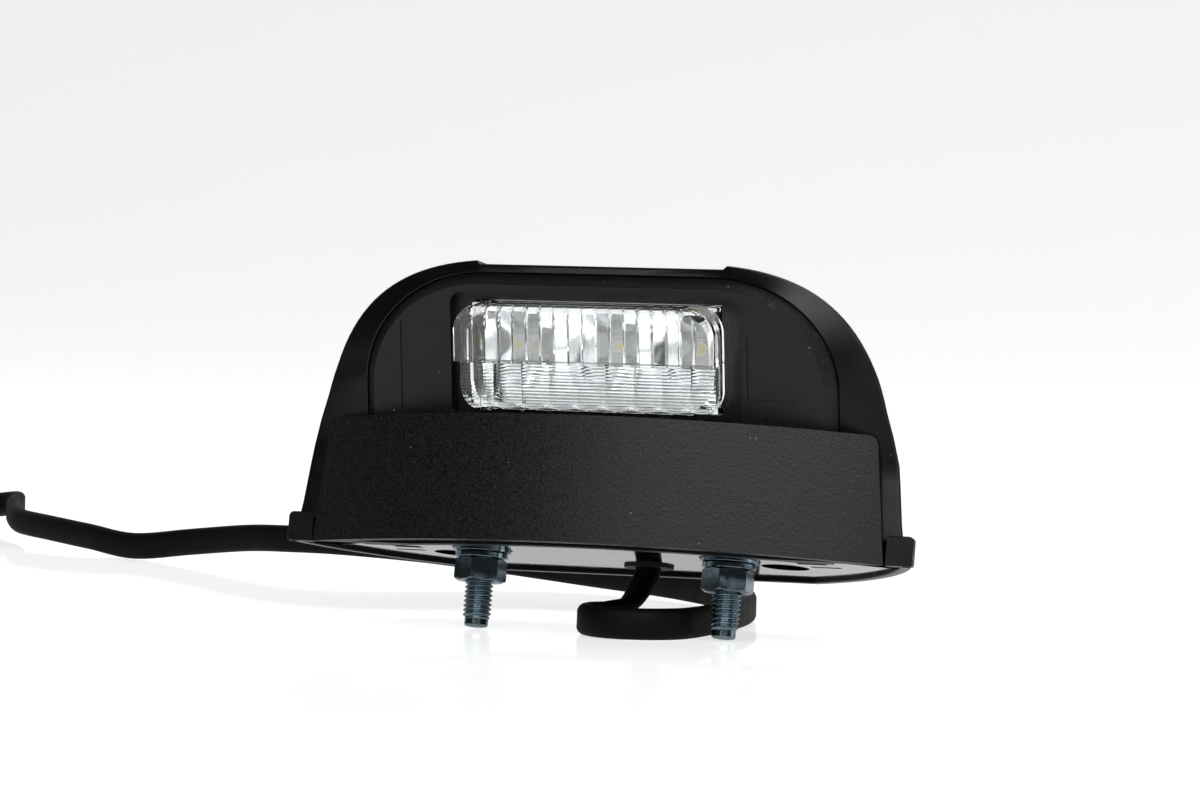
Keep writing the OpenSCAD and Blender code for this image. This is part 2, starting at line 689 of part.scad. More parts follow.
// Eight-sided section with the outer size of the flat lead
flat_section = let (a = lead_w / 2, b = lead_t / 2, c = b * 0.45) [
    [a, -b + c], [a, b - c], [a - c, b], [-a + c, b], [-a, b - c], [-a, -b + c], [-a + c, -b], [a - c, -b]];
round_section = [for (i = [0:7]) core_d / 2 * [cos(45 * i), sin(45 * i)]];

// Places on the surface and the direction out of it
up = [0, -sin(floor_tilt), cos(floor_tilt)];
function over_floor(x, y, h) = [x, y, floor_z(y) + h / cos(floor_tilt)];
function lead_points() = curve(concat(
    [[exit_x, exit_y, exit_z]],
    [for (p = route) over_floor(p[0], p[1], p[2])]), 2);
function lead_widths(points) = let (n = len(points), turn = curve(concat([route[0]], route), 2)) [for (i = [0:n - 1]) let (
    t = unit(points[min(i + 1, n - 1)] - points[max(i - 1, 0)]),
    level = i < 8 ? exit_width : unit(cross(up, t)))
    cos(turn[i][3]) * level + sin(turn[i][3]) * up];

module lead() {
    points = lead_points();
    color([0.08, 0.08, 0.08]) sweep(points, lead_widths(points), flat_section);
}

module on_floor_at(x, y) { translate([x, y, floor_z(y)]) rotate([floor_tilt, 0, 0]) children(); }

module lead_coil() {
    color([0.08, 0.08, 0.08]) on_floor_at(coil_x, coil_y) rotate_extrude($fn = 96)
        translate([coil_in, 0]) square([coil_w, lead_w + 0.2]);
}

module coil_tie() {
    color([0.9, 0.9, 0.88]) on_floor_at(coil_x, coil_y) rotate(250) difference() {
        translate([coil_in - 1, -1.5, 0]) cube([coil_w + 2, 3, lead_w + 1.2]);
        rotate_extrude($fn = 96) translate([coil_in, -1]) square([coil_w, lead_w + 1.2]);
    }
}

// The end of the lead leaves the inner turn and lies in the middle of the coil
tail = [[-256, 205.8, 2.8], [-268.3, 201.2, 2.8], [-275.2, 191.1, 2.8], [-274.9, 178.6, 2.8], [-267.9, 170.4, 2.8]];
module lead_tail() {
    points = curve([for (p = tail) over_floor(p[0], p[1], p[2])], 3);
    color([0.08, 0.08, 0.08]) sweep(points, [for (p = points) up], flat_section);
}

// The two bare-ended cores: each one's x and y, and its height from the upper or lower core
core_end = [[-267.9, 170.4, 1.3], [-261.5, 168, 1.1], [-254, 168.4, 0.6], [-248, 172.5, 0.2]];
module end_core(side, tint) {
    points = curve([for (p = core_end)
        over_floor(p[0], p[1] + side * (1.3 - p[2]) * 3, lead_w / 2 + side * p[2])], 3);
    color(tint) sweep(points, [for (p = points) up], round_section);
}

// Cores inside the lamp, from the sheath up to the board
face_out = [0, cos(face_lean), sin(face_lean)];
face_up = [0, -sin(face_lean), cos(face_lean)];
function face_point(x, depth, v) = [x, -face_front, bar_h] + depth * face_out + v * face_up;
module inner_core(side, tint) {
    start = [exit_x, exit_y, exit_z + sheath_in] + side * 1.25 * exit_width;
    pad = face_point(pad_x + side * pad_gap / 2, board_back + solder_h + 0.05, pad_v);
    points = curve([start, start + [0, 0, 6], [start[0] - 4, exit_y - 3.5, bar_h + 5.4],
        pad + 4 * face_out, pad], 3);
    color(tint) sweep(points, [for (p = points) [1, 0, 0]], round_section);
}

hood();
housing();
lens();
reflector();
circuit_board();
led(-1);  // led_left
led(0);  // led_middle
led(1);  // led_right
driver_chip();
inductor();
capacitor();
diode();
board_screw(-1);  // board_screw_left
board_screw(1);  // board_screw_right
base_plate();
plate_screw(-1);  // plate_screw_left
plate_screw(1);  // plate_screw_right
stud(-1);  // stud_left
stud(1);  // stud_right
flat_washer(-1);  // flat_washer_left
flat_washer(1);  // flat_washer_right
spring_washer(-1);  // spring_washer_left
spring_washer(1);  // spring_washer_right
nut(-1);  // nut_left
nut(1);  // nut_right
grommet();
potting();
inner_sheath();
inner_core(1, [0.7, 0.1, 0.1]);  // inner_core_plus
inner_core(-1, [0.1, 0.1, 0.1]);  // inner_core_minus
lead();
lead_coil();
coil_tie();
lead_tail();
end_core(1, [0.7, 0.1, 0.1]);  // end_core_plus
end_core(-1, [0.1, 0.1, 0.1]);  // end_core_minus
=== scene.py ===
"""Number plate lamp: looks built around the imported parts, in the same frame and in metres."""

import json
import logging
from dataclasses import dataclass
from enum import Enum
from math import acos, asin, cos, pi, radians, sin, sqrt, tan
from typing import Callable

import bmesh
import bpy
import numpy as np
from bpy.types import Material, Mesh, Node, NodeSocket, NodeTree, Object
from mathutils import Matrix, Vector

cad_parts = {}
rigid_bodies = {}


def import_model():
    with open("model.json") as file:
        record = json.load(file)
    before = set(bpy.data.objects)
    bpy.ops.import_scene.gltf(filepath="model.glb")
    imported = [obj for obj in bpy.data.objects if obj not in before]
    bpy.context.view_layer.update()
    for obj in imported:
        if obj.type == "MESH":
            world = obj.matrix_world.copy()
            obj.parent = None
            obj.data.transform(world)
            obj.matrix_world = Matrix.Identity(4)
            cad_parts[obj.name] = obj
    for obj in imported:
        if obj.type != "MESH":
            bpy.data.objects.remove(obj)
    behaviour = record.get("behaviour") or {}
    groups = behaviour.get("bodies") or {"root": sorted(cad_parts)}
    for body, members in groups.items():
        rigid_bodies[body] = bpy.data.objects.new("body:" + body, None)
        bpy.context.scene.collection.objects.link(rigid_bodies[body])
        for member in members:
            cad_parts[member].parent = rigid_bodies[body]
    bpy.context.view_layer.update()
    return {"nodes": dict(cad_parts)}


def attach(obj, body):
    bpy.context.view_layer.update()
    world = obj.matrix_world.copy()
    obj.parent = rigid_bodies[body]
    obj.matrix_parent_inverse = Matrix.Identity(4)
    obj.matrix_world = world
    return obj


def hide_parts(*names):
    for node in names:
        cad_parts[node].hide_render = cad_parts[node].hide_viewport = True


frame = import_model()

LOG = logging.getLogger("number_plate_lamp")
MM = 0.001
BODY = "root"
Array = np.ndarray
Triple = tuple[float, float, float]

FACE_LEAN = radians(17)
FLOOR_TILT = radians(10)
FACE_OUT = np.array([0.0, cos(FACE_LEAN), sin(FACE_LEAN)])
FACE_UP = np.array([0.0, -sin(FACE_LEAN), cos(FACE_LEAN)])
FACE_FOOT = np.array([0.0, -10.0, 21.6])
# Distance between two LEDs and their height up the face, in millimetres
LED_PITCH = 16.0
LED_V = 12.25
# The surface under the lamp: its slope backwards, and the line across where the stud ends touch it
FLOOR_BACK = np.array([0.0, cos(FLOOR_TILT), sin(FLOOR_TILT)])
FLOOR_UP = np.array([0.0, -sin(FLOOR_TILT), cos(FLOOR_TILT)])
TOUCH_Y = 2.1
TOUCH_Z = -13.0


def on_face(x: Array | float, depth: Array | float, v: Array | float) -> Array:
    """Turn sizes along the leaning face into points of the lamp's frame.

    Args:
        x: Sideways distance in millimetres.
        depth: Depth behind the face in millimetres; it is negative in front of it.
        v: Height along the face above its foot in millimetres.

    Returns:
        Points in millimetres, with the last axis x, y and z.
    """
    x, depth, v = np.broadcast_arrays(np.asarray(x, float), np.asarray(depth, float), np.asarray(v, float))
    points = FACE_FOOT + depth[..., None] * FACE_OUT + v[..., None] * FACE_UP
    points[..., 0] = x
    return points


def floor_height(y: float) -> float:
    """Give the height of the surface under the lamp at a distance behind the stud line."""
    return TOUCH_Z + (y - TOUCH_Y) * tan(FLOOR_TILT)


def over_floor(x: float, y: float, height: float) -> Array:
    """Give the point at x and y that is at a height over the tilted surface, in millimetres."""
    return np.array([x, y, floor_height(y) + height / cos(FLOOR_TILT)])


def linear(hex_colour: str) -> tuple[float, float, float, float]:
    """Convert an sRGB colour such as "#1a1b1e" to the linear values that shaders take.

    Args:
        hex_colour: Colour as six hexadecimal digits after a hash sign.

    Returns:
        Red, green, blue and alpha.
    """
    parts = [int(hex_colour[i : i + 2], 16) / 255 for i in (1, 3, 5)]
    r, g, b = (c / 12.92 if c <= 0.04045 else ((c + 0.055) / 1.055) ** 2.4 for c in parts)
    return (r, g, b, 1.0)


# Materials


def add_node(tree: NodeTree, kind: str, inputs: dict | None = None, **settings: object) -> Node:
    """Add a shader node with its settings and inputs.

    Args:
        tree: Node tree that gets the node.
        kind: Node type, without the ShaderNode that it starts with.
        inputs: Input names or numbers, each with its value or the output socket that feeds it.
        **settings: Properties set on the node itself.

    Returns:
        The new node.
    """
    node = tree.nodes.new("ShaderNode" + kind)
    for name, value in settings.items():
        setattr(node, name, value)
    for name, value in (inputs or {}).items():
        if isinstance(value, NodeSocket):
            tree.links.new(value, node.inputs[name])
        else:
            node.inputs[name].default_value = value
    return node


@dataclass(frozen=True)
class Finish:
    """A real material: its colour, gloss and surface texture.

    Attributes:
        name: Name of the real material.
        colour: Main sRGB colour.
        second: sRGB colour that noise mixes in.
        share: Share of the second colour, from 0 to 1.
        patch_mm: Size of the colour's patches.
        roughness: Mean roughness.
        roughness_swing: Variation of the roughness to either side.
        grain_mm: Size of the surface grain.
        grain_height_mm: Height of the surface grain.
        metallic: 1 for metal.
        transmission: 1 for clear material.
        ior: Index of refraction.
        coat: Weight of a glossy coat.
        coat_roughness: Roughness of that coat.
        speck: sRGB colour of sparse specks, or none.
        speck_mm: Spacing of the specks' cells, of which few have a speck.
        dot: sRGB colour of a round dot round each LED's axis, or none.
        dot_mm: Radius of that dot.
    """

    name: str
    colour: str
    second: str
    share: float = 0.35
    patch_mm: float = 6.0
    roughness: float = 0.45
    roughness_swing: float = 0.05
    grain_mm: float = 0.4
    grain_height_mm: float = 0.01
    metallic: float = 0.0
    transmission: float = 0.0
    ior: float = 1.5
    coat: float = 0.0
    coat_roughness: float = 0.1
    speck: str | None = None
    speck_mm: float = 0.9
    dot: str | None = None
    dot_mm: float = 1.0

    def build(self) -> Material:
        """Make the material with its node tree.

        Returns:
            The new material.
        """
        material = bpy.data.materials.new(self.name)
        material.use_nodes = True
        tree = material.node_tree
        tree.nodes.clear()
        place = add_node(tree, "TexCoord").outputs["Object"]
        patches = add_node(tree, "TexNoise",
                           {"Vector": place, "Scale": 1 / (self.patch_mm * MM), "Detail": 4.0}).outputs["Fac"]
        grain = add_node(tree, "TexNoise",
                         {"Vector": place, "Scale": 1 / (self.grain_mm * MM), "Detail": 2.0,
                          "Roughness": 0.6})
        blend = add_node(tree, "MapRange",
                         {"Value": patches, "From Min": 0.3, "From Max": 0.7, "To Max": self.share})
        layers = [(self.second, blend.outputs["Result"])]
        if self.speck:
            layers.append((self.speck, self.specks(tree, place)))
        if self.dot:
            layers.append((self.dot, self.led_dot(tree, place)))
        colour = linear(self.colour)
        for over, mask in layers:
            colour = add_node(tree, "Mix", {0: mask, 6: colour, 7: linear(over)}, data_type="RGBA").outputs[2]
        rough = add_node(tree, "MapRange",
                         {"Value": patches, "From Min": 0.3, "From Max": 0.7,
                          "To Min": self.roughness - self.roughness_swing,
                          "To Max": self.roughness + self.roughness_swing})
        bump = add_node(tree, "Bump",
                        {"Height": grain.outputs["Fac"], "Strength": 1.0,
                         "Distance": self.grain_height_mm * MM})
        shader = add_node(tree, "BsdfPrincipled",
                          {"Base Color": colour, "Roughness": rough.outputs["Result"],
                           "Normal": bump.outputs["Normal"], "Metallic": self.metallic,
                           "Transmission Weight": self.transmission, "IOR": self.ior,
                           "Coat Weight": self.coat, "Coat Roughness": self.coat_roughness})
        add_node(tree, "OutputMaterial", {"Surface": shader.outputs["BSDF"]})
        return material

    def specks(self, tree: NodeTree, place: NodeSocket) -> NodeSocket:
        """Give a mask that is 1 in small round specks, in about one cell of four.

        Args:
            tree: Node tree that gets the nodes.
            place: Socket of the object coordinates.

        Returns:
            The socket of the mask.
        """
        cells = add_node(tree, "TexVoronoi",
                         {"Vector": place, "Scale": 1 / (self.speck_mm * MM), "Randomness": 1.0})
        near = add_node(tree, "MapRange",
                        {"Value": cells.outputs["Distance"], "From Min": 0.03, "From Max": 0.06,
                         "To Min": 1.0, "To Max": 0.0})
        few = add_node(tree, "Math", {0: cells.outputs["Color"], 1: 0.72}, operation="GREATER_THAN")
        both = add_node(tree, "Math", {0: near.outputs["Result"], 1: few.outputs[0]},
                        operation="MULTIPLY")
        return both.outputs[0]

    def led_dot(self, tree: NodeTree, place: NodeSocket) -> NodeSocket:
        """Give a mask that is 1 near an LED's axis: x is folded into one pitch, v is measured up the face.

        Args:
            tree: Node tree that gets the nodes.
            place: Socket of the object coordinates.

        Returns:
            The socket of the mask.
        """
        half = LED_PITCH / 2 * MM
        x = add_node(tree, "SeparateXYZ", {"Vector": place}).outputs["X"]
        folded = add_node(tree, "Math", {0: x, 1: half, 2: -half}, operation="WRAP").outputs[0]
        middle = on_face(0.0, 0.0, LED_V) * MM
        offset = add_node(tree, "VectorMath", {0: place, 1: tuple(middle)}, operation="SUBTRACT")
        v = add_node(tree, "VectorMath", {0: offset.outputs[0], 1: tuple(FACE_UP)},
                     operation="DOT_PRODUCT").outputs[1]
        flat = add_node(tree, "CombineXYZ", {"X": folded, "Y": v}).outputs[0]
        far = add_node(tree, "VectorMath", {0: flat}, operation="LENGTH").outputs[1]
        radius = self.dot_mm * MM
        mask = add_node(tree, "MapRange",
                        {"Value": far, "From Min": radius * 0.9, "From Max": radius * 1.1,
                         "To Min": 1.0, "To Max": 0.0})
        return mask.outputs["Result"]


# Moulded in a finely blasted tool: black with a soft sheen that follows the dome, and a little dust
HOOD_PLASTIC = Finish("Satin black ABS", "#06080a", "#0b0e13", roughness=0.3, ior=1.42, grain_mm=0.3,
                      grain_height_mm=0.002, speck="#54575c", speck_mm=3.2)
# Moulded in a spark-eroded tool: dull black with a grain, drawn coarser than the real one so that it shows.
# The grain is a real bump, and its light and shade are also painted in as darker and less dark patches, with
# pale specks as painted glints
HOUSING_PLASTIC = Finish("Spark-eroded black ABS", "#040405", "#0e0f12", patch_mm=0.45, share=1.0,
                         roughness=0.42, roughness_swing=0.12, grain_mm=0.5, grain_height_mm=0.05,
                         speck="#a9abb0", speck_mm=2.0)
# Moulded in a polished tool: a dark mirror under the lamp
BASE_PLASTIC = Finish("Gloss black ABS", "#0a0b0c", "#0f1012", roughness=0.1, coat=1.0, coat_roughness=0.06,
                      grain_mm=0.8, grain_height_mm=0.002)
# Moulded clear in a polished tool: light breaks up at the flutes and ribs, and the surface is smooth
CLEAR_ACRYLIC = Finish("Clear acrylic", "#fbfcfc", "#f5f8f9", share=0.3, roughness=0.03, roughness_swing=0.02,
                       grain_height_mm=0.0005, transmission=1.0, ior=1.49)
# Moulded, then plated in vacuum: a bright mirror with a slight wave behind the lens
PLATED = Finish("Vacuum-plated polycarbonate", "#f3f4f5", "#e6e8ea", roughness=0.12, roughness_swing=0.04,
                grain_mm=2.0, metallic=1.0)
# Plated, then passivated blue: a cool grey metal with soft patches
ZINC = Finish("Blue zinc plate", "#93a5ae", "#6d818c", share=0.9, patch_mm=1.2, roughness=0.17,
              roughness_swing=0.09, grain_mm=0.18, grain_height_mm=0.006, metallic=1.0)
# Extruded flat: smooth and dull, with a little dust
SHEATH = Finish("Black PVC sheath", "#070708", "#0b0b0c", roughness=0.6, ior=1.25, grain_mm=0.6,
                grain_height_mm=0.012, speck="#3c3e40", speck_mm=3.2)
# Moulded: dull black
RUBBER = Finish("Black EPDM rubber", "#161616", "#1e1e1e", roughness=0.6, grain_mm=0.35)
# Poured: a dark, fairly glossy surface with slow waves
SEALANT = Finish("Black sealing compound", "#0e0e10", "#151517", roughness=0.25, grain_mm=1.5,
                 grain_height_mm=0.03)
# Printed on the board: an even white that lights up the reflector
LAMINATE = Finish("White solder mask", "#dfe1dc", "#d2d4cf", roughness=0.3, grain_mm=0.5,
                  grain_height_mm=0.004)
# Moulded white package: pale, with the yellow of the phosphor in its middle
PHOSPHOR = Finish("LED package and phosphor", "#e9e9e6", "#dddeda", roughness=0.4, patch_mm=1.2, coat=0.6,
                  dot="#e9e0a8")
# Moulded round the chip: flat dark grey
EPOXY = Finish("Black epoxy", "#18181a", "#222224", roughness=0.55, grain_mm=0.2, grain_height_mm=0.006)
# Pressed and fired: flat mid grey
FERRITE = Finish("Grey ferrite", "#3c3d40", "#47484b", roughness=0.6, grain_mm=0.3)
# Fired: an even tan
CERAMIC = Finish("Tan ceramic", "#a8885c", "#9b7c52", roughness=0.5, grain_mm=0.3, grain_height_mm=0.004)
# Extruded over the core: smooth and clearly red
RED_PVC = Finish("Red PVC", "#a01c18", "#8c1512", roughness=0.4, grain_mm=0.5, grain_height_mm=0.004)
# Extruded over the core: smooth and black
BLACK_PVC = Finish("Black PVC", "#161617", "#1d1d1e", roughness=0.4, grain_mm=0.5, grain_height_mm=0.004)
# Moulded without colour: a milky ivory
NYLON = Finish("Natural nylon", "#dcdbd2", "#d0cec3", grain_mm=0.6)


# Meshes

# Largest angle that is shaded as one surface on a soft copy, and smallest angle that it rounds
SMOOTH_DEG = 40.0
EDGE_DEG = 28.0


def make_piece(name: str, points: Array, faces: list[list[int]], finish: Material,
               smooth_deg: float) -> Object:
    """Make a mesh object from points in millimetres.

    Args:
        name: Name of the piece.
        points: Points in millimetres.
        faces: Faces as point numbers.
        finish: Material of the piece.
        smooth_deg: Largest angle that is shaded as one surface.

    Returns:
        The new object, riding on the lamp.
    """
    mesh = bpy.data.meshes.new(name)
    mesh.from_pydata((np.asarray(points, float) * MM).tolist(), [], faces)
    mesh.validate()
    body = bmesh.new()
    body.from_mesh(mesh)
    bmesh.ops.remove_doubles(body, verts=body.verts, dist=1e-7)
    bmesh.ops.recalc_face_normals(body, faces=body.faces)
    body.to_mesh(mesh)
    body.free()
    return finish_piece(name, mesh, finish, smooth_deg)


def finish_piece(name: str, mesh: Mesh, finish: Material,
                 smooth_deg: float) -> Object:
    """Shade a mesh, give it its material and put it on the lamp.

    Args:
        name: Name of the piece.
        mesh: Mesh of the piece, in metres.
        finish: Material of the piece.
        smooth_deg: Largest angle that is shaded as one surface.

    Returns:
        The new object, riding on the lamp.
    """
    mesh.shade_smooth()
    mesh.set_sharp_from_angle(angle=radians(smooth_deg))
    mesh.materials.clear()
    mesh.materials.append(finish)
    obj = bpy.data.objects.new(name, mesh)
    bpy.context.scene.collection.objects.link(obj)
    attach(obj, BODY)
    return obj


def grid_faces(rows: int, columns: int, start: int = 0, closed: bool = False) -> list[list[int]]:
    """Give the quads of a grid of points.

    Args:
        rows: Number of rows.
        columns: Number of points in a row.
        start: Number of the first point.
        closed: Whether each row's end joins its start.

    Returns:
        The quads as point numbers.
    """
    row = start + columns * np.arange(rows - 1)[:, None]
    here = np.arange(columns if closed else columns - 1)
    after = (here + 1) % columns
    quads = np.stack([row + here, row + after, row + columns + after, row + columns + here], axis=-1)
    return quads.reshape(-1, 4).tolist()


def tube_faces(rows: int, columns: int, start: int = 0) -> list[list[int]]:
    """Give the faces of a tube of closed rings, and of its two ends.

    Args:
        rows: Number of rings.
        columns: Number of points in a ring.
        start: Number of the first point.

    Returns:
        The faces as point numbers.
    """
    last = start + (rows - 1) * columns
    ends = [list(range(start, start + columns)), list(range(last, last + columns))]
    return grid_faces(rows, columns, start, closed=True) + ends


def spline(points: Array, steps: int) -> Array:
    """Run a smooth curve through points, with equal steps in each span.

    Args:
        points: Points or other rows of values to pass through.
        steps: Number of steps in each span.

    Returns:
        The curve's points, the last one included.
    """
    padded = np.vstack([points[:1], points, points[-1:]])
    t = np.arange(steps)[:, None] / steps
    spans = [0.5 * (2 * b + (c - a) * t + (2 * a - 5 * b + 4 * c - d) * t**2 + (3 * b - a - 3 * c + d) * t**3)
             for a, b, c, d in zip(padded[:-3], padded[1:-2], padded[2:-1], padded[3:])]
    return np.vstack([*spans, points[-1:]])


def unit(v: Array) -> Array:
    """Scale vectors along the last axis to length one."""
    return v / np.linalg.norm(v, axis=-1, keepdims=True)


def weigh_normals(mesh: Mesh) -> None:
    """Let large faces stay flat: a corner's normal is the mean of its neighbours' normals, weighted by area.

    Args:
        mesh: Mesh that gets the normals.
    """
    normals = np.array([p.normal for p in mesh.polygons])
    areas = np.array([p.area for p in mesh.polygons])
    around: list[list[int]] = [[] for _ in mesh.vertices]
    for face in mesh.polygons:
        for vertex in face.vertices:
            around[vertex].append(face.index)
    limit = cos(radians(SMOOTH_DEG))
    corners = []
    for face in mesh.polygons:
        for vertex in face.vertices:
            near = np.array(around[vertex])
            near = near[normals[near] @ normals[face.index] > limit]
            total = areas[near] @ normals[near]
            length = np.linalg.norm(total)
            corners.append(tuple(total / length) if length > 0 else tuple(normals[face.index]))
    mesh.normals_split_custom_set(corners)


def soft_copy(node: str, name: str, finish: Material, width_mm: float = 0.25,
              segments: int = 2) -> Object:
    """Copy a CAD node with its sharp edges rounded, and let the copy stand for it.

    The shortest edges limit the rounding of the whole copy: it is about 0.02 mm on the base plate and next to
    nothing on the housing.

    Args:
        node: CAD node to copy.
        name: Name of the new piece.
        finish: Material of the piece.
        width_mm: Largest width of the rounding.
        segments: Number of facets across the rounding.

    Returns:
        The new object.
    """
    mesh = frame["nodes"][node].data.copy()
    mesh.name = name
    body = bmesh.new()
    body.from_mesh(mesh)
    bmesh.ops.remove_doubles(body, verts=body.verts, dist=2e-6)
    bmesh.ops.dissolve_limit(body, angle_limit=radians(0.6), verts=body.verts, edges=body.edges)
    least = radians(EDGE_DEG)
    edges = [e for e in body.edges if len(e.link_faces) == 2 and e.calc_face_angle(0) > least]
    bmesh.ops.bevel(body, geom=edges, offset=width_mm * MM, offset_type="OFFSET", segments=segments,
                    profile=0.5, affect="EDGES", clamp_overlap=True, harden_normals=False)
    bmesh.ops.triangulate(body, faces=[f for f in body.faces if len(f.verts) > 4])
    body.to_mesh(mesh)
    body.free()
    obj = finish_piece(name, mesh, finish, SMOOTH_DEG)
    weigh_normals(mesh)
    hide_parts(node)
    return obj


# The lead


@dataclass
class Lead:
    """Flat two-core lead from the base plate to a neat coil outside the view, sizes in millimetres."""

    width: float = 5.4
    thickness: float = 2.8
    exit: Triple = (3.0, 15.0, 0.2)
    exit_turn: float = -30.0
    rest_height: float = 2.8
    coil_middle: tuple[float, float] = (-256.0, 180.7)
    coil_radius: float = 26.0
    turns: int = 3
    turn_gap: float = 2.9
    span_steps: int = 6
    # x, y, height of the middle over the surface, turn of the width from level to upright
    route: tuple[tuple[float, float, float, float], ...] = (
        (2.6, 14.3, 8.6, 0), (1, 11.5, 4.6, 20), (-1.6, 7, 3, 55),
        (-2.8, 2.4, 2.8, 80), (-1.6, -2.8, 2.8, 90), (2.2, -6.8, 2.8, 90), (7.2, -8.2, 2.8, 90),
        (12, -6.8, 2.8, 90), (15.3, -3, 2.8, 90), (16.5, 2.4, 2.8, 90), (16.6, 11, 2.8, 90),
        (16, 24, 2.8, 90), (13, 42, 2.8, 90), (6, 60, 2.8, 90), (-5, 76, 2.9, 90),
        (-20, 91, 3.2, 90), (-38, 104, 3.5, 90), (-56, 112, 4.4, 90), (-76, 114, 6, 90),
        (-95, 113, 7, 90), (-108, 115, 7, 90), (-120, 121, 6.4, 90), (-136, 130, 4.6, 90),
        (-152, 137, 2.8, 90), (-166, 145, 3.8, 90), (-181, 156, 4.6, 90), (-193, 167, 5, 90),
        (-200, 177, 5.6, 90), (-206, 188, 6.4, 90), (-210, 199, 7, 90), (-217, 207.4, 6.4, 90),
        (-227, 212.2, 5, 90), (-240, 214, 3.2, 90), (-256, 214.4, 2.8, 90))
    tail: tuple[tuple[float, float], ...] = (
        (-268.3, 201.2), (-275.2, 191.1), (-274.9, 178.6), (-267.9, 170.4))

    def coil_point(self, angle: float) -> Array:
        """Give the middle of the lead in the coil: the radius falls by one turn's gap a turn.

        Args:
            angle: Angle from where the lead joins the coil, in radians.

        Returns:
            The point in millimetres.
        """
        radius = self.coil_radius + self.turn_gap * (self.turns - angle / (2 * pi))
        across = np.array([-sin(angle) * radius, 0, 0])
        along = cos(angle) * radius * FLOOR_BACK
        x, y = self.coil_middle
        return np.array([x, y, floor_height(y)]) + across + along + self.rest_height * FLOOR_UP

    def centreline(self) -> tuple[Array, Array]:
        """Give the lead's middle line and the turn of its width in degrees along it.

        Returns:
            The points of the line, and the turn at each of them.
        """
        first = np.array([self.exit, *[over_floor(x, y, h) for x, y, h, _ in self.route]])
        turn = np.array([[self.route[0][3]], *[[t] for *_, t in self.route]])
        run = spline(first, self.span_steps)
        turns = spline(turn, self.span_steps)[:, 0]
        angles = np.linspace(0.35, 2 * pi * self.turns - 0.3, 32 * self.turns)
        loops = np.array([self.coil_point(a) for a in angles])
        end = np.array([over_floor(x, y, self.rest_height) for x, y in self.tail])
        rest = spline(np.vstack([run[-2:-1], run[-1:], loops, end]), 2)[2:]
        line = np.vstack([run, rest[1:]])
        return line, np.concatenate([turns, np.full(len(rest) - 1, 90.0)])

    def section(self) -> Array:
        """Give the flat section: two round edges, joined by flats.

        Returns:
            The points, with their places across the width and the thickness.
        """
        angles = np.radians(np.concatenate([np.linspace(-78, 78, 7), np.linspace(102, 258, 7)]))
        half = (self.width - self.thickness) / 2
        across = np.where(np.cos(angles) > 0, half, -half) + self.thickness / 2 * np.cos(angles)
        return np.column_stack([across, self.thickness / 2 * np.sin(angles)])

    def build(self, sheath: Material, pieces: list[Object]) -> Object:
        """Args:
            sheath: Material of the sheath.
            pieces: Pieces that lie on the cord; not used.

        Returns:
            The lead's object.
        """
        line, turns = self.centreline()
        ahead = unit(np.gradient(line, axis=0))
        level = unit(np.cross(FLOOR_UP, ahead))
        start = np.radians(self.exit_turn)
        level[: 4 * self.span_steps] = [cos(start), sin(start), 0]
        turn = np.radians(turns)[:, None]
        wide = np.cos(turn) * level + np.sin(turn) * FLOOR_UP
        wide = unit(wide - np.sum(wide * ahead, axis=1, keepdims=True) * ahead)
        thick = np.cross(ahead, wide)
        section = self.section()
        rings = (line[:, None] + section[None, :, :1] * wide[:, None]
                 + section[None, :, 1:] * thick[:, None])
        faces = tube_faces(len(line), len(section))
        obj = make_piece("flat_lead", rings.reshape(-1, 3), faces, sheath, 50)
        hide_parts("lead", "lead_coil", "lead_tail")
        return obj


# The hood


